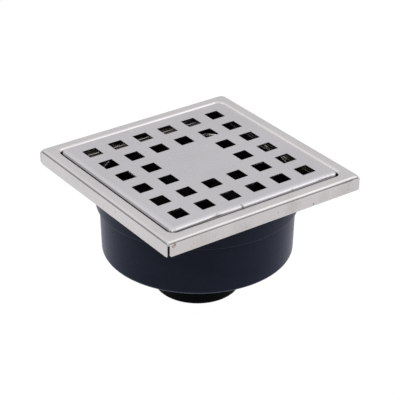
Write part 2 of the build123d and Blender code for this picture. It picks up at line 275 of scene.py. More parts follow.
# %% [markdown]
# ## Satin stainless steel
#
# The sheet was rolled at the mill, so its shine has a fine grain that runs one way. Handling
# adds faint clouds, hairline scratches and a few specks. Plain metal of one roughness looks
# like plastic foil. Here noise moves the tone and roughness a little, a stretched noise makes
# the grain as bump, and each speck or stain is a soft spot at its own place.

# %% Build the steel
CLOUDS = 28.0
FINE_CLOUDS = 420.0
RAGGED_CLOUDS = 900.0
GRAIN = (9000, 300, 9000)
HAIRLINES = ((24, 900), (-58, 700))
HAIR_STRETCH = 12
HAIR_WIDTH = 0.012
ZONE_EDGE = 0.1 * MM


def hairlines(tree, coords, turn, spacing):
    """Thin scratches in one direction, where a stretched noise crosses its middle."""
    turned = node(tree, "ShaderNodeVectorRotate", {"Vector": coords, "Angle": math.radians(turn)},
                  rotation_type="Z_AXIS").outputs[0]
    lines = clouds(tree, stretched(tree, turned, (HAIR_STRETCH, spacing, spacing)), 1.0, 1.0)
    off_middle = math_step(tree, "ABSOLUTE", math_step(tree, "SUBTRACT", lines, 0.5), 0)
    return remap(tree, off_middle, 0.0, HAIR_WIDTH, 1.0, 0.0)


def spot(tree, coords, ragged, place, reach, softness):
    """1 inside a spot round a place in mm, 0 outside it, with a ragged edge."""
    centre = Vector(place) * MM
    away = node(tree, "ShaderNodeVectorMath", {0: coords, 1: centre}, operation="DISTANCE").outputs["Value"]
    away = math_step(tree, "ADD", away, math_step(tree, "MULTIPLY", ragged, reach * MM))
    return remap(tree, away, reach * MM, reach * MM * (1 + softness), 1.0, 0.0)


def zone_amount(tree, coords, limits):
    """1 where each named measure lies within its limits, and 0 elsewhere."""
    parts = node(tree, "ShaderNodeSeparateXYZ", {0: coords}).outputs
    level = stretched(tree, coords, (1, 1, 0))
    reach = math_step(tree, "MAXIMUM", math_step(tree, "ABSOLUTE", parts[0], 0),
                      math_step(tree, "ABSOLUTE", parts[1], 0))
    radius = node(tree, "ShaderNodeVectorMath", {0: level}, operation="LENGTH").outputs["Value"]
    measures = {"x": parts[0], "y": parts[1], "height": parts[2], "reach": reach, "radius": radius}
    amount = 1.0
    for name, (low, high) in limits.items():
        over = remap(tree, measures[name], low - ZONE_EDGE, low + ZONE_EDGE, 0.0, 1.0)
        under = remap(tree, measures[name], high - ZONE_EDGE, high + ZONE_EDGE, 1.0, 0.0)
        amount = math_step(tree, "MULTIPLY", amount, math_step(tree, "MULTIPLY", over, under))
    return amount


def satin_steel(name, tone, roughness, marks=(), zones=()):
    """Rolled stainless sheet. A mark is (place in mm, reach in mm, softness, amount, colour), and
    a zone is (limits, amount, colour)."""
    material, tree, shader, coords = new_material(name)
    cloudy = clouds(tree, coords, CLOUDS)
    fine = clouds(tree, coords, FINE_CLOUDS, 4.0)
    colour = blended(tree, remap(tree, cloudy, 0.35, 0.65, 0.0, 1.0), shade(tone, 0.96), tone)
    colour = blended(tree, remap(tree, fine, 0.55, 0.75, 0.0, 0.06), colour, shade(tone, 0.8))
    one_way, other_way = (hairlines(tree, coords, turn, spacing) for turn, spacing in HAIRLINES)
    scratched = math_step(tree, "MAXIMUM", one_way, other_way)
    for limits, amount, zone_colour in zones:
        patch = math_step(tree, "MULTIPLY", zone_amount(tree, coords, limits), amount)
        colour = blended(tree, patch, colour, zone_colour)
    ragged = remap(tree, clouds(tree, coords, RAGGED_CLOUDS, 3.0), 0.35, 0.65, 0.0, 1.0)
    for place, reach, softness, amount, mark_colour in marks:
        patch = math_step(tree, "MULTIPLY", spot(tree, coords, ragged, place, reach, softness), amount)
        colour = blended(tree, patch, colour, mark_colour)
    rough = math_step(tree, "ADD", remap(tree, fine, 0.3, 0.7, roughness - 0.02, roughness + 0.03),
                      math_step(tree, "MULTIPLY", scratched, 0.05))
    grain = clouds(tree, stretched(tree, coords, GRAIN), 1.0, 2.0)
    relief = math_step(tree, "SUBTRACT", grain, math_step(tree, "MULTIPLY", scratched, 0.6))
    bump = node(tree, "ShaderNodeBump", {"Height": relief, "Strength": 0.08, "Distance": 0.004 * MM})
    wire(tree, shader, colour, rough, bump)
    shader.inputs["Metallic"].default_value = 1.0
    return material


print("steel helpers are ready, with hairlines in", len(HAIRLINES), "directions")

# %% [markdown]
# The skirt is what a hand or a tile touches first. It has a little rust beside the open corner,
# some specks of soot, and wide darker patches. A mark's place is in millimetres from the
# outlet's lower end, on the front or the left side.

# %% Marks on the skirt
# Painted shade: the dark tone of the steel inside the recess and under the grate's plate.
PAINTED_SHADE_INSIDE = (0.19, 0.158, 0.145)
# Painted highlight: the bright tone for bands inside the recess, the right lips and the grate's near corner.
PAINTED_HIGHLIGHT = (0.95, 0.91, 0.90)
RUST_BROWN = (0.24, 0.12, 0.06)
WARM_STAIN = (0.45, 0.28, 0.15)
# Soot specks on the skirt, and the painted shade of the stroke in the grate's nick.
SOOT_AND_NICK_SHADE = (0.10, 0.09, 0.09)
# Darker patches on the skirt, and painted shade that dims the highlight of the frame's fold.
DARK_PATCH_AND_SHADE = (0.40, 0.37, 0.345)
# A slightly darker tone for the front skirt below its fold.
FRONT_SKIRT_TONE = (0.434, 0.381, 0.357)
# Painted shade on the grate's front fold where it meets the gap, darker on its left part.
GAP_SHADE = (0.20, 0.19, 0.19)
DEEP_FOLD_SHADE = (0.08, 0.075, 0.07)
# Painted shade on the dents and creases of the grate's front fold.
DENT_SHADE_TOP = (0.22, 0.22, 0.23)
DENT_SHADE = (0.20, 0.20, 0.21)
CREASE_SHADE = (0.28, 0.27, 0.28)
CREASE_SHADE_BROWN = (0.28, 0.25, 0.27)
front = -frame_half / MM
left = -frame_half / MM
skirt_marks = [
    ((-70.6, front, 90.0), 1.1, 0.8, 0.75, RUST_BROWN),
    ((-72.0, front, 89.6), 0.7, 0.9, 0.65, RUST_BROWN),
    ((-71.6, front, 88.4), 0.7, 0.9, 0.55, RUST_BROWN),
    ((-16.5, front, 84.4), 0.8, 0.9, 0.5, WARM_STAIN),
    ((8.5, front, 86.7), 0.40, 0.8, 0.8, SOOT_AND_NICK_SHADE),
    ((14.5, front, 84.2), 0.35, 0.8, 0.7, SOOT_AND_NICK_SHADE),
    ((37.0, front, 83.8), 0.5, 0.8, 0.75, SOOT_AND_NICK_SHADE),
    ((66.0, front, 85.2), 0.4, 0.8, 0.75, SOOT_AND_NICK_SHADE),
    ((20.0, front, 87.7), 4.2, 1.2, 0.38, DARK_PATCH_AND_SHADE),
    ((46.0, front, 85.7), 3.4, 1.4, 0.26, DARK_PATCH_AND_SHADE),
    ((-48.0, front, 83.0), 9.0, 0.7, 0.26, DARK_PATCH_AND_SHADE),
    ((-20.0, front, 82.5), 8.0, 0.8, 0.22, DARK_PATCH_AND_SHADE),
    ((62.0, front, 83.0), 9.0, 0.7, 0.26, DARK_PATCH_AND_SHADE),
    ((left, -17.8, 87.7), 0.4, 0.8, 0.8, SOOT_AND_NICK_SHADE),
    ((left, -4.5, 85.7), 0.3, 0.8, 0.6, SOOT_AND_NICK_SHADE),
]
print("marks on the skirt:", len(skirt_marks))

# %% [markdown]
# The steel also has zones. Inside the frame below its rim, and under the grate's plate, the colour
# is darkened as painted shade. Bands inside the recess and on the right lips are brightened as
# painted highlight. Each has limits on the height, on the reach from the middle, or on the radius,
# and softens at its edges. FAR lies beyond the drain, so it stands for no limit.

# %% Zones of painted shade, painted highlight and a darker tone
FAR = 1.0
LEDGE_BAND = (ledge_top + 1.0 * MM, ledge_top + 2.2 * MM)
RECESS_SIDE = (frame_half - 12 * MM, frame_half - 8 * MM)
COLLAR_BAND = (sleeve_high.x - 2.4 * MM, sleeve_high.x + 0.4 * MM)
NOT_LEFT = (-frame_half + 3 * MM, FAR)
RIGHT_LIP = (66.4 * MM, 68.5 * MM)
LIP_BAND = (rim_top - 2.3 * MM, rim_top - 0.3 * MM)
frame_zones = [
    # Painted shade on everything inside the frame below its rim.
    ({"reach": (0, frame_half - 0.25 * MM), "height": (0, rim_top - 2.3 * MM)}, 1.0, PAINTED_SHADE_INSIDE),
    # Painted highlight on a band near the foot of the recess wall and on the collar's bend.
    ({"x": (-60 * MM, 60 * MM), "reach": RECESS_SIDE, "height": LEDGE_BAND}, 1.0, PAINTED_HIGHLIGHT),
    ({"radius": COLLAR_BAND, "height": (ledge_top - 1.0 * MM, ledge_top + 0.3 * MM)}, 1.0, PAINTED_HIGHLIGHT),
    # The front skirt is a shade darker below its fold.
    ({"y": (-FAR, -frame_half + 0.1 * MM), "height": (0, rim_top - 2.6 * MM)}, 0.12, FRONT_SKIRT_TONE),
    # Painted shade dims the highlight on the fold between rim and skirt, except on the left side.
    ({"x": NOT_LEFT, "reach": (frame_half - 2.2 * MM, FAR), "height": (rim_top - 0.95 * MM, FAR)},
     0.25, DARK_PATCH_AND_SHADE),
    # Painted highlight on the right lip of the recess.
    ({"x": (RIGHT_LIP[0], FAR), "reach": RIGHT_LIP, "height": LIP_BAND}, 0.33, PAINTED_HIGHLIGHT),
]
FRONT_FOLD = (-FAR, -grate_half + 0.5 * MM)
GAP_SHADE_BAND = (grate_high.z - 3.4 * MM, grate_high.z - 1.5 * MM)
DEEP_SHADE_BAND = (grate_high.z - 3.4 * MM, grate_high.z - 1.2 * MM)
grate_zones = [
    # Painted shade under the plate and on the inside of the grate's skirt.
    ({"reach": (0, grate_half - 0.6 * MM), "height": (grate_low.z + 1.3 * MM, grate_high.z - 1 * MM)},
     1.0, PAINTED_SHADE_INSIDE),
    # Painted shade on the front fold where it meets the gap, deeper on its left part.
    ({"y": FRONT_FOLD, "height": GAP_SHADE_BAND}, 0.95, GAP_SHADE),
    ({"x": (-63 * MM, -36 * MM), "y": FRONT_FOLD, "height": DEEP_SHADE_BAND}, 0.5, DEEP_FOLD_SHADE),
    # Painted highlight on the right fold of the grate.
    ({"x": (grate_half - 1.2 * MM, FAR), "height": (grate_high.z - 1.6 * MM, FAR)}, 0.25, PAINTED_HIGHLIGHT),
]
print("zones on the frame and on the grate:", len(frame_zones), len(grate_zones))

# %% [markdown]
# The grate's front fold was knocked once, about 11 mm left of its middle. Painted shade marks
# that nick as a dark stroke that runs out and down over the fold. Left and right of it are dents
# and creases, with painted shade on them, and the near corner has a painted highlight.

# %% Marks on the grate
# Millimetres outward, millimetres down, and amount, for each spot of the stroke of painted shade in the
# nick.
NICK_SHADE_STROKE = [(0.4, 0.03, 0.5), (0.9, 0.1, 0.65), (1.5, 0.28, 0.6), (2.1, 0.6, 0.75), (2.6, 1.0, 0.9),
             (2.9, 1.5, 0.85), (3.05, 2.0, 0.8)]
grate_marks = [((-11.3 - 0.2 * i, -62.7 - out, 93.17 - drop), 0.55, 0.8, amount, SOOT_AND_NICK_SHADE)
               for i, (out, drop, amount) in enumerate(NICK_SHADE_STROKE)]
# Painted shade on the dents left of the nick and on the creases right of it.
grate_marks += [((-31.0, -64.1, 93.0), 0.8, 0.9, 0.5, DENT_SHADE_TOP),
                ((-31.0, -64.9, 92.6), 1.3, 0.9, 0.5, DENT_SHADE),
                ((-32.8, -65.2, 92.4), 1.3, 0.9, 0.35, DENT_SHADE),
                ((-34.8, -65.4, 92.2), 1.2, 0.9, 0.25, DENT_SHADE),
                ((-28.8, -65.3, 92.3), 1.2, 0.9, 0.3, DENT_SHADE),
                ((28.0, -65.1, 92.5), 1.0, 0.9, 0.35, CREASE_SHADE),
                ((50.0, -65.3, 92.3), 1.3, 0.9, 0.35, CREASE_SHADE_BROWN),
                ((52.5, -65.1, 92.5), 1.4, 0.9, 0.4, CREASE_SHADE_BROWN),
                ((55.5, -65.3, 92.3), 1.4, 0.9, 0.35, CREASE_SHADE_BROWN),
                ((59.0, -65.4, 92.2), 1.3, 0.9, 0.3, CREASE_SHADE_BROWN),
                # Painted highlight on the grate's near corner.
                ((-64.7, -63.8, 92.8), 0.9, 0.9, 0.6, PAINTED_HIGHLIGHT),
                ((-64.9, -64.7, 91.8), 1.5, 0.8, 0.5, PAINTED_HIGHLIGHT)]
print("marks on the grate:", len(grate_marks))

# %% The three steels
FRAME_TONE = (0.603, 0.578, 0.586)
GRATE_TONE = (0.549, 0.532, 0.558)
SCREW_TONE = (0.55, 0.55, 0.55)
frame_steel = satin_steel("satin steel of the frame", FRAME_TONE, 0.20, skirt_marks, frame_zones)
grate_steel = satin_steel("satin steel of the grate", GRATE_TONE, 0.22, grate_marks, grate_zones)
screw_steel = satin_steel("plain steel of the screw", SCREW_TONE, 0.30)
print("steels:", [steel.name for steel in (frame_steel, grate_steel, screw_steel)])

# %% [markdown]
# ## Moulded plastic and rubber
#
# The drum is ABS, moulded against smooth steel, so it has a soft shine with a slight ripple
# where the plastic cooled. Rubber is duller, with a fine powdery skin. Both are almost black,
# and what one sees of them is mostly their reflection, so the ripple matters more than colour.

# %% Build the plastics
FLOW = (18, 18, 60)
SKIN = 700.0
RUBS = 90.0
RUBBED_LIFT = 0.004
RIPPLE_DEPTH = 0.03 * MM
HAZE_TINT = (0.30, 0.38, 1.0, 1)
HAZE_ROUGHNESS = 0.5


def moulded(name, tone, roughness, shine, ripple, haze=0.0):
    """Injection-moulded plastic, with faint flow clouds, a rippled skin and a bluish haze."""
    material, tree, shader, coords = new_material(name)
    flow = clouds(tree, stretched(tree, coords, FLOW), 1.0)
    skin = clouds(tree, coords, SKIN, 2.0)
    rubbed = remap(tree, clouds(tree, coords, RUBS, 5.0), 0.62, 0.78, 0.0, 0.5)
    colour = blended(tree, remap(tree, flow, 0.3, 0.7, 0.0, 1.0), tone, shade(tone, 1.25))
    colour = blended(tree, rubbed, colour, tuple(c + RUBBED_LIFT for c in tone))
    rough = math_step(tree, "ADD", remap(tree, skin, 0.3, 0.7, roughness - 0.03, roughness + 0.03),
                      math_step(tree, "MULTIPLY", rubbed, 0.1))
    bump = node(tree, "ShaderNodeBump", {"Height": skin, "Strength": ripple, "Distance": RIPPLE_DEPTH})
    wire(tree, shader, colour, rough, bump)
    shader.inputs["Specular IOR Level"].default_value = shine
    shader.inputs["Sheen Weight"].default_value = haze
    shader.inputs["Sheen Roughness"].default_value = HAZE_ROUGHNESS
    shader.inputs["Sheen Tint"].default_value = HAZE_TINT
    return material


ANTHRACITE = (0.0069, 0.0083, 0.0152)
BLACK = (0.0012, 0.0014, 0.0022)
SOOTY_BLACK = (0.006, 0.006, 0.0065)
anthracite_abs = moulded("anthracite ABS", ANTHRACITE, 0.30, 0.06, 0.12, 0.16)
black_abs = moulded("black ABS", BLACK, 0.34, 0.03, 0.12)
black_rubber = moulded("black rubber", SOOTY_BLACK, 0.62, 0.25, 0.35)
print("plastics:", [plastic.name for plastic in (anthracite_abs, black_abs, black_rubber)])

# %% [markdown]
# ## The frame
#
# The frame starts as one square blank of 0.8 mm sheet. Its border is folded down into a skirt,
# its middle is drawn down into a recess with a flat ledge, and the ledge is drawn on into a
# round collar that plugs into the drum. One path of points follows that section from the
# skirt's lower edge, over the rim and down to the collar. The rows change from a rounded
# square to a circle on the ledge.

# %% Sizes of the frame's section
SHEET = 0.8 * MM
SKIRT_DROP = 10.3 * MM
SKIRT_CORNERS = (1.0 * MM, 1.4 * MM, 1.0 * MM, 1.2 * MM)
RIM_CORNERS = (3.0 * MM, 3.0 * MM, 2.4 * MM, 1.2 * MM)
NEAR_SKIRT_BEND = 2.1 * MM
FAR_SKIRT_BEND = 2.2 * MM
RECESS_HALF = 66.7 * MM
RECESS_CORNER = 4.5 * MM
RECESS_LIP = 2.1 * MM
RECESS_BEND = 2.2 * MM
COLLAR_BEND = 1.2 * MM
SLIT_START = 0.1 * MM
SLIT_TURN = 45
SLIT_PAST = 0.45 * MM
FLANGE_ROUND = 1.5 * MM
COLLAR_WALL_RADIUS = sleeve_high.x - 2.0 * MM
FRAME_STEPS = 60
FRAME_EDGE = 0.12 * MM
recess_straight = RECESS_HALF - RECESS_CORNER
frame_places = [-1, -1 + SLIT_PAST / frame_half]
frame_places += [i / FRAME_STEPS for i in range(1 - FRAME_STEPS, FRAME_STEPS + 1)]
frame_columns = columns_round(frame_places)
print("frame columns:", len(frame_columns), "collar bore in mm:", round(2 * COLLAR_WALL_RADIUS / MM, 1))

# %% [markdown]
# A fold made by hand tools isn't a perfect quarter circle. Where the press stopped short it left
# a narrow flat across the fold, and in satin steel such a flat shows at once, because all of it
# mirrors one stretch of the room. So a fold is drawn as an arc with a flat let into it. The
# flat's length may be zero, and may change from column to column.

# %% The section of a fold
FOLD_TURNS = (11, 20, 31, 43, 56, 69, 69, 76, 83, 90)
FLAT_TURN = 69


def fold_section(radius, flat, lead=0):
    """(inset, drop) of a fold's points from its top down. It starts at a lead angle in degrees."""
    points = []
    for i, turn in enumerate(FOLD_TURNS):
        past = i > FOLD_TURNS.index(FLAT_TURN)
        angle = math.radians(turn)
        inset = radius * (1 - math.sin(angle)) + (0 if past else flat * math.cos(math.radians(FLAT_TURN)))
        drop = radius * (math.cos(math.radians(lead)) - math.cos(angle))
        points.append((inset, drop + (flat * math.sin(math.radians(FLAT_TURN)) if past else 0)))
    return points


def between(places, x):
    """The value at x on straight lines through (x, value) places, which are in order."""
    for (x0, v0), (x1, v1) in zip(places, places[1:]):
        if x0 <= x <= x1:
            return v0 + (v1 - v0) * (x - x0) / (x1 - x0)
    return 0.0


print("points across a fold:", len(FOLD_TURNS))


# %% How the frame's corners and folds change
CORNER_EASE = 20
# Millimetres along the front from its middle, and the flat's length there.
RIM_FLATS = [(52.0, 0.0), (64.0, 0.2), (70.0, 0.4), (71.8, 0.45), (72.8, 0.0)]


def quarter(steps):
    """Angles from 0 to 90 degrees, in radians."""
    return [math.radians(90 * i / steps) for i in range(steps + 1)]


def corner_radius(column, radii):
    """The corner's radius at a column, given the radius of the corner after each side."""
    side, place, turn = column
    after = radii[side]
    return after if turn else radii[side - 1] + (after - radii[side - 1]) * (place + 1) / 2


def from_slit(column):
    """How far a column of the skirt lies from the open corner, along the sheet."""
    _, place, turn = column
    corner = corner_radius(column, SKIRT_CORNERS)
    if turn:
        return max(0.0, math.radians(SLIT_TURN - turn) * corner)
    before = (1 - place) * (frame_half - corner) + math.radians(SLIT_TURN) * corner
    return min(before, max(0.0, (1 + place) * (frame_half - corner) - SLIT_PAST))


def skirt_foot(column):
    """Height of the skirt's lower edge, rounded up beside the open corner."""
    short = max(0.0, FLANGE_ROUND - from_slit(column))
    return rim_top - SKIRT_DROP + FLANGE_ROUND - math.sqrt(FLANGE_ROUND ** 2 - short ** 2)


def rim_flat(column):
    """Length of the flat in the fold between rim and skirt, at the front's right end."""
    side, place, turn = column
    return between(RIM_FLATS, place * frame_half / MM) * MM if side == 0 and not turn else 0.0


def skirt_top(column):
    """Height just under the fold, where the slit in a corner starts."""
    return rim_top - rim_folds[column][-1][1] - SLIT_START


def rim_straight(column, inset, turn):
    """Half the straight part of a row of the fold. Its corner is rounder than the skirt's."""
    share = min(1.0, (90 - turn) / CORNER_EASE)
    skirt, rim = corner_radius(column, SKIRT_CORNERS), corner_radius(column, RIM_CORNERS)
    return frame_half - inset - skirt - share * (rim - skirt)


skirt_bend = {column: by_side(column, NEAR_SKIRT_BEND, FAR_SKIRT_BEND) for column in frame_columns}
rim_folds = {column: fold_section(skirt_bend[column], rim_flat(column)) for column in frame_columns}
fold_radii = [round(radius / MM, 2) for radius in skirt_bend.values()]
print("skirt folds in mm:", min(fold_radii), "to", max(fold_radii))

# %% Follow the frame's section
SKIRT_PARTS = (0, 0.08, 0.2, 0.4, 0.6, 0.8, 1)
RIM_PARTS = (0, 0.33, 0.67)
PAST_FOLD = 0.3 * MM
frame_rows = []
for part in SKIRT_PARTS:
    frame_rows.append(row_of_points(frame_columns, frame_half, lambda c: rim_straight(c, 0, 90),
                                    lambda c: skirt_foot(c) + part * (skirt_top(c) - skirt_foot(c))))
slit_rows = len(frame_rows) - 1
for i in reversed(range(len(FOLD_TURNS))):
    frame_rows.append(row_of_points(frame_columns, lambda c: frame_half - rim_folds[c][i][0],
                                    lambda c: rim_straight(c, rim_folds[c][i][0], FOLD_TURNS[i]),
                                    lambda c: rim_top - rim_folds[c][i][1]))
rim_inner = RECESS_HALF + RECESS_LIP


def rim_inset(column):
    """How far from the skirt's outside the flat rim begins, just past the fold."""
    return skirt_bend[column] + PAST_FOLD


for part in RIM_PARTS:
    frame_rows.append(row_of_points(
        frame_columns,
        lambda c: (1 - part) * (frame_half - rim_inset(c)) + part * rim_inner,
        lambda c: (1 - part) * rim_straight(c, rim_inset(c), 0) + part * recess_straight,
        rim_top))
for angle in quarter(6):
    frame_rows.append(row_of_points(frame_columns, RECESS_HALF + RECESS_LIP * (1 - math.sin(angle)),
                                    recess_straight, rim_top - RECESS_LIP * (1 - math.cos(angle))))
for angle in quarter(5):
    frame_rows.append(row_of_points(frame_columns, RECESS_HALF - RECESS_BEND * (1 - math.cos(angle)),
                                    recess_straight, ledge_top + RECESS_BEND * (1 - math.sin(angle))))
print("rows down to the ledge:", len(frame_rows))


# %% Turn the square into the round collar
LEDGE_PARTS = (0.33, 0.67)


def on_circle(point, radius, height):
    """The point in the same direction from the axis, on a circle at a height."""
    flat = Vector((point.x, point.y, 0)).normalized() * radius
    return Vector((flat.x, flat.y, height))


ledge_edge = frame_rows[-1]
for part in LEDGE_PARTS:
    frame_rows.append([p.lerp(on_circle(p, COLLAR_WALL_RADIUS + COLLAR_BEND, ledge_top), part)
                       for p in ledge_edge])
for angle in quarter(5):
    radius = COLLAR_WALL_RADIUS + COLLAR_BEND * (1 - math.sin(angle))
    height = ledge_top - COLLAR_BEND * (1 - math.cos(angle))
    frame_rows.append([on_circle(p, radius, height) for p in ledge_edge])
frame_rows.append([on_circle(p, COLLAR_WALL_RADIUS, pan_low.z) for p in ledge_edge])
print("rows in the frame's section:", len(frame_rows))


# %% Make the frame
def not_in_slit(row, index):
    """True where the frame has sheet, and False in the slit between two flanges."""
    _, place, turn = frame_columns[index]
    return row >= slit_rows or not (turn >= SLIT_TURN or (place == -1 and not turn))


mesh = bmesh.new()
skin_rows(mesh, frame_rows, not_in_slit)
finish_piece("folded_frame", mesh, frame_steel, "drain", "frame_pan",
             sheet=SHEET, edge=FRAME_EDGE)

# %% [markdown]
# ## The grate
#
# The grate is a punched plate of 1.2 mm sheet, with its border bent down. The punch leaves 32
# square holes and a blind middle. The plate is a grid whose lines run through the holes'
# edges, so a hole is simply a patch of faces left out. The same lines go on over the bend, so
# grid and bend share their points.

# %% Sizes of the grate
PLATE = 1.2 * MM
PLATE_CORNER = 4.2 * MM
NEAR_BEND = 2.1 * MM
FAR_BEND = 1.1 * MM
NEAR_CROWN = 2.4 * MM
FAR_CROWN = 0.8 * MM
HOLE = 10.5 * MM
PITCH = 20 * MM
HOLES_A_SIDE = 6
NICK_AT = -11.2 * MM
NICK_HALF = 0.5 * MM
NICK_DEPTH = 0.45 * MM
PLATE_EDGE = 0.14 * MM
GRID_STEP = 1.25 * MM
GRID_LINES = 49
BLIND_STEPS = 1
plate_straight = grate_half - PLATE_CORNER
hole_middles = [(i - (HOLES_A_SIDE - 1) / 2) * PITCH for i in range(HOLES_A_SIDE)]
plate_lines = [i * GRID_STEP for i in range(-GRID_LINES, GRID_LINES + 1)] + [-plate_straight, plate_straight]
plate_lines += [middle + side * HOLE / 2 for middle in hole_middles for side in (-1, 1)]
plate_lines += [NICK_AT - NICK_HALF, NICK_AT, NICK_AT + NICK_HALF]
plate_lines.sort()
plate_columns = columns_round([x / plate_straight for x in plate_lines])
print("lines on the plate:", len(plate_lines))

# %% [markdown]
# The plate leans a little before the fold begins, as a sheet does next to a press brake, and
# its front and left folds are rounder than the other two. The front fold isn't even either. The
# press left flats in some stretches, with a small crease where one stroke ended and the next
# began. A short list of places says how long the flat is there, and it changes evenly from one
# place to the next.

# %% The plate's folds
# Millimetres along the front from its middle, and the flat's length there.
PLATE_FLATS = [(-61.6, 0.0), (-59.5, 0.40), (-54.5, 0.40), (-53.0, 0.75), (-50.0, 0.60), (-40.0, 0.90),
               (-31.0, 1.75), (-30.2, 1.75), (-27.0, 0.9), (-19.0, 0.35), (24.0, 0.35), (28.0, 0.70),
               (31.0, 0.45), (46.0, 0.55), (53.5, 1.20), (59.5, 0.9), (61.6, 0.0)]


def plate_flat(column):
    """Length of the flat in the plate's fold at a column."""
    side, place, turn = column
    return between(PLATE_FLATS, place * plate_straight / MM) * MM if side == 0 and not turn else 0.0


def nick(column):
    """How deep a column is pressed in by the nick across the front fold."""
    side, place, turn = column
    near = 1 - abs(place * plate_straight - NICK_AT) / NICK_HALF
    return NICK_DEPTH * near if side == 0 and not turn and near > 0 else 0.0


plate_folds = {column: fold_section(by_side(column, NEAR_BEND, FAR_BEND), plate_flat(column), FOLD_TURNS[0])
               for column in plate_columns}
print("stretches of the front fold:", len(PLATE_FLATS) - 1)


# %% The rows round the plate
SIDE_PARTS = (0, 0.12, 0.5)
CROWN_PARTS = (0.75, 0.5, 0.25, 0)


def crown_drop(column, part):
    """How far the plate has dropped at a part of its leaning stretch."""
    return by_side(column, NEAR_CROWN, FAR_CROWN) * math.tan(math.radians(FOLD_TURNS[0])) * part ** 2 / 2


def crown_edge(column, part):
    """How far from the middle a part of the leaning stretch lies."""
    fold_start = grate_half - plate_folds[column][0][0]
    return max(plate_straight, fold_start - by_side(column, NEAR_CROWN, FAR_CROWN) * (1 - part))


plate_top = grate_high.z
plate_rows = []
for part in SIDE_PARTS:
    plate_rows.append(row_of_points(
        plate_columns, grate_half, plate_straight,
        lambda c: grate_low.z + part * (plate_top - crown_drop(c, 1) - plate_folds[c][-1][1] - grate_low.z)))
for i in reversed(range(len(FOLD_TURNS))):
    angle = math.radians(FOLD_TURNS[i])
    plate_rows.append(row_of_points(
        plate_columns,
        lambda c: grate_half - plate_folds[c][i][0] - nick(c) * math.sin(angle),
        plate_straight,
        lambda c: plate_top - crown_drop(c, 1) - plate_folds[c][i][1] - nick(c) * math.cos(angle)))
for part in CROWN_PARTS:
    plate_rows.append(row_of_points(plate_columns, lambda c: crown_edge(c, part), plate_straight,
                                    lambda c: plate_top - crown_drop(c, part) - part * nick(c)))
plate_rows.append(row_of_points(plate_columns, plate_straight, plate_straight, plate_top))
print("rows round the plate:", len(plate_rows))


# %% Make the grate
def in_hole(x, y):
    """True if a point of the plate was punched out."""
    middle = (HOLES_A_SIDE - 1) / 2
    i, j = x / PITCH + middle, y / PITCH + middle
    inside = all(abs(n - round(n)) * PITCH < HOLE / 2 and 0 <= round(n) < HOLES_A_SIDE for n in (i, j))
    return inside and max(abs(round(i) - middle), abs(round(j) - middle)) > BLIND_STEPS


mesh = bmesh.new()
skin_rows(mesh, plate_rows)
grid = [[mesh.verts.new((x, y, plate_top)) for x in plate_lines] for y in plate_lines]
for j in range(len(plate_lines) - 1):
    for i in range(len(plate_lines) - 1):
        x = (plate_lines[i] + plate_lines[i + 1]) / 2
        y = (plate_lines[j] + plate_lines[j + 1]) / 2
        if not in_hole(x, y):
            mesh.faces.new((grid[j][i], grid[j][i + 1], grid[j + 1][i + 1], grid[j + 1][i]))
loose = [v for v in mesh.verts if not v.link_faces]
bmesh.ops.delete(mesh, geom=loose, context="VERTS")
finish_piece("punched_grate", mesh, grate_steel, "grate", "grate_plate",
             sheet=PLATE, edge=PLATE_EDGE)

# %% [markdown]
# ## The drum, its ring and the outlet
#
# These three are round, so each is one outline turned about the drain's axis, like clay on a
# wheel. The outline has a point at each change of direction, and the edges that a mould would
# round are rounded with a few points on an arc.

# %% Turn an outline into a round piece
TURNS = 192
TURNED_EDGE = 0.15 * MM


def arc(centre, radius, start, end, steps=6):
    """Points (radius, height) on an arc between two directions in degrees."""
    angles = [math.radians(start + (end - start) * i / steps) for i in range(steps + 1)]
    return [(centre[0] + radius * math.cos(a), centre[1] + radius * math.sin(a)) for a in angles]


def turned_piece(name, outline, material, stands_for):
    """Makes a closed round piece from its outline, given anticlockwise with the axis on the left."""
    mesh = bmesh.new()
    rows = []
    for radius, height in outline + outline[:1]:
        angles = [2 * math.pi * i / TURNS for i in range(TURNS)]
        rows.append([Vector((radius * math.cos(a), radius * math.sin(a), height)) for a in angles])
    skin_rows(mesh, rows)
    finish_piece(name, mesh, material, "drain", stands_for, edge=TURNED_EDGE)


print("points round a turned piece:", TURNS)

# %% The ring that carries the frame
RING_FOOT = 68.0 * MM
RING_EDGE = 1.0 * MM
SOCKET = sleeve_high.x - 0.7 * MM
ring_outline = arc((RING_FOOT - RING_EDGE, ring_low.z + RING_EDGE), RING_EDGE, -90, 0)
ring_outline += [(ring_high.x, ring_high.z), (sleeve_high.x, ring_high.z), (sleeve_high.x, drum_high.z),
                 (SOCKET, drum_high.z), (SOCKET, ring_low.z)]
turned_piece("collar_ring", ring_outline, anthracite_abs, "drum_ring")

# %% The drum
DRAFT = math.tan(math.radians(1.5))
DRUM_WALL = 3.35 * MM
DRUM_FLOOR = 3.2 * MM
DRUM_EDGE = 2.5 * MM
LAP = SOCKET - 0.1 * MM
BOSS_WALL = 3.0 * MM
BOSS_HEIGHT = 6.2 * MM
PIPE_STEP = 0.6 * MM
foot_radius = drum_high.x - DRAFT * (ring_low.z - drum_low.z)
floor_top = drum_low.z + DRUM_FLOOR
bore_top = LAP - DRUM_WALL
bore_foot = bore_top - DRAFT * (drum_high.z - floor_top)
pipe_socket = pipe_high.x - PIPE_STEP
boss = pipe_socket + BOSS_WALL
drum_outline = [(pipe_high.x, drum_low.z)]
drum_outline += arc((foot_radius - DRUM_EDGE, drum_low.z + DRUM_EDGE), DRUM_EDGE, -90, 0, 10)
drum_outline += [(drum_high.x, ring_low.z), (LAP, ring_low.z), (LAP, drum_high.z), (bore_top, drum_high.z)]
drum_outline += arc((bore_foot - DRUM_EDGE, floor_top + DRUM_EDGE), DRUM_EDGE, 0, -90)
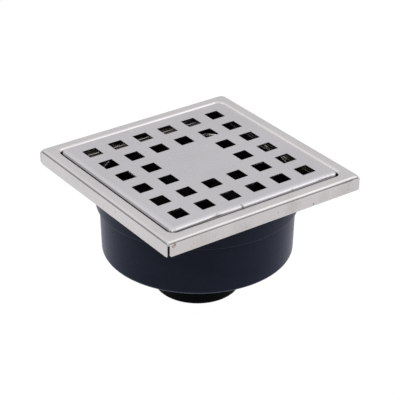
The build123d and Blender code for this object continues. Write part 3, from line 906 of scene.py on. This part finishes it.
drum_outline += [(boss, floor_top), (boss, floor_top + BOSS_HEIGHT), (pipe_socket, floor_top + BOSS_HEIGHT),
                 (pipe_socket, drum_low.z + PIPE_STEP)]
turned_piece("trap_drum", drum_outline, anthracite_abs, "drum_body")

# %% The outlet pipe
PIPE_WALL = 2.8 * MM
PIPE_LEAD = 1.0 * MM
pipe_bore = pipe_high.x - PIPE_WALL
pipe_outline = [(pipe_bore, pipe_low.z), (pipe_high.x - PIPE_LEAD, pipe_low.z),
                (pipe_high.x, pipe_low.z + PIPE_LEAD), (pipe_high.x, drum_low.z), (pipe_socket, drum_low.z),
                (pipe_socket, pipe_high.z), (pipe_bore, pipe_high.z)]
turned_piece("outlet_spigot", pipe_outline, black_abs, "outlet_pipe")

# %% [markdown]
# ## The pieces kept from CAD
#
# The trap, the seals and the buffers have the right shape already, so they keep it. They only
# get their finish, chosen by the material slot that CAD wrote down for each.

# %% Finish the CAD pieces
SLOT_FINISH = {"stainless_screw": screw_steel, "abs_black": black_abs, "abs_anthracite": anthracite_abs,
               "rubber_black": black_rubber, "stainless_frame": frame_steel, "stainless_grate": grate_steel}
for part in frame["record"]["subparts"]:
    cad_piece = frame["nodes"][part["node"]]
    cad_piece.data.materials.clear()
    cad_piece.data.materials.append(SLOT_FINISH[part["material_slot"]])

# %% [markdown]
# ## Floor, light and camera
#
# In a studio the drain would stand on a white sheet, with a broad light from the right and a
# bright room behind. The floor shows white to the camera and in the metal, and keeps only a
# trace of a shadow. The sky is a gradient: steel shows a thin dark line at each fold, and that
# line is the darker horizon, so the horizon has to be there.

# %% The floor
FLOOR_RADIUS = 0.95
FLOOR_SIDES = 96
FLOOR_GAP = 0.02 * MM
PAPER_WHITE = (0.86, 0.86, 0.86, 1)
GLOW_LEVEL = 1.02
SEEN_GLOW = 0.97
MIRRORED_GLOW = 0.93
floor_place = (0, 0, cad_box[0].z - FLOOR_GAP)
bpy.ops.mesh.primitive_circle_add(vertices=FLOOR_SIDES, radius=FLOOR_RADIUS, fill_type="NGON",
                                  location=floor_place)
floor = bpy.context.object
floor.name = "white_sheet"
paper = bpy.data.materials.new("white paper")
paper.use_nodes = True
tree = paper.node_tree
diffuse = tree.nodes["Principled BSDF"]
diffuse.inputs["Base Color"].default_value = PAPER_WHITE
diffuse.inputs["Roughness"].default_value = 0.9
rays = node(tree, "ShaderNodeLightPath").outputs
mirrored = math_step(tree, "MAXIMUM", rays["Is Glossy Ray"], rays["Is Transmission Ray"])
share = math_step(tree, "MAXIMUM",
                  math_step(tree, "MULTIPLY", rays["Is Camera Ray"], SEEN_GLOW),
                  math_step(tree, "MULTIPLY", mirrored, MIRRORED_GLOW))
glow = node(tree, "ShaderNodeEmission", {"Strength": GLOW_LEVEL})
mixed = node(tree, "ShaderNodeMixShader", {0: share})
tree.links.new(diffuse.outputs[0], mixed.inputs[1])
tree.links.new(glow.outputs[0], mixed.inputs[2])
tree.links.new(mixed.outputs[0], tree.nodes["Material Output"].inputs[0])
floor.data.materials.append(paper)
print("floor radius in m:", FLOOR_RADIUS)

# %% The sky
FRONT_HORIZON = 0.22
BACK_HORIZON = 1.00
LOW_SKY = 0.82
HIGH_SKY = 1.12
CEILING_GLOW = 0.20
TOWARDS_BACK = (0.62, 0.79, 0)
TOWARDS_CEILING = (0.60, 0.15, 0.79)
world = bpy.data.worlds.new("studio")
bpy.context.scene.world = world
world.use_nodes = True
tree = world.node_tree
direction = node(tree, "ShaderNodeTexCoord").outputs["Generated"]


def along(tree, vector, way):
    """How far a vector points along a way, from -1 to 1."""
    return node(tree, "ShaderNodeVectorMath", {0: vector, 1: way}, operation="DOT_PRODUCT").outputs["Value"]


height = along(tree, direction, (0, 0, 1))
sky = remap(tree, height, 0.38, 0.68, LOW_SKY, HIGH_SKY)
front_sky = remap(tree, height, -0.02, 0.66, FRONT_HORIZON, sky)
back_sky = remap(tree, height, 0.05, 0.32, BACK_HORIZON, sky)
level = remap(tree, along(tree, direction, TOWARDS_BACK), 0.2, 0.85, front_sky, back_sky)
ceiling = remap(tree, along(tree, direction, TOWARDS_CEILING), 0.86, 0.99, 0.0, CEILING_GLOW)
rays = node(tree, "ShaderNodeLightPath").outputs
shown = math_step(tree, "MAXIMUM", math_step(tree, "ADD", level, ceiling), rays["Is Camera Ray"])
background = tree.nodes["Background"]
tree.links.new(shown, background.inputs["Color"])
background.inputs["Strength"].default_value = 1.0
print("sky from", FRONT_HORIZON, "to", HIGH_SKY + CEILING_GLOW)


# %% The light
LIGHT_PLACE = (1.0, -0.35, 1.05)
LIGHT_SIZE = 1.1
LIGHT_POWER = 2.1


def soft_light(name, place, size, power):
    """A square area light that faces the drain."""
    lamp = bpy.data.lights.new(name, "AREA")
    lamp.shape = "SQUARE"
    lamp.size = size
    lamp.energy = power
    light = bpy.data.objects.new(name, lamp)
    light.location = place
    light.rotation_euler = (Vector((0, 0, rim_top)) - Vector(place)).to_track_quat("-Z", "Y").to_euler()
    bpy.context.scene.collection.objects.link(light)


soft_light("broad light", LIGHT_PLACE, LIGHT_SIZE, LIGHT_POWER)
print("light in m and W:", LIGHT_SIZE, LIGHT_POWER)

# %% The camera
CAMERA_TURN = 35.53
CAMERA_RISE = 28.98
CAMERA_ROLL = -0.27
CAMERA_AWAY = 1.0194
LENS_LENGTH = 137.36
SENSOR_WIDTH = 36
aim = Vector((1.36 * MM, -1.015 * MM, 64.04 * MM))
turn, rise = math.radians(CAMERA_TURN), math.radians(CAMERA_RISE)
back = Vector((-math.sin(turn) * math.cos(rise), -math.cos(turn) * math.cos(rise), math.sin(rise)))
lens = bpy.data.cameras.new("studio camera")
lens.lens = LENS_LENGTH
lens.sensor_width = SENSOR_WIDTH
camera = bpy.data.objects.new("studio camera", lens)
camera.location = aim + CAMERA_AWAY * back
looking = (-back).to_track_quat("-Z", "Y").to_matrix().to_4x4()
rolled = looking @ Matrix.Rotation(math.radians(-CAMERA_ROLL), 4, "Z")
camera.rotation_euler = rolled.to_euler()
bpy.context.scene.collection.objects.link(camera)
bpy.context.scene.camera = camera
bpy.context.scene.view_settings.view_transform = "Standard"
print("camera at", [round(v, 3) for v in camera.location])
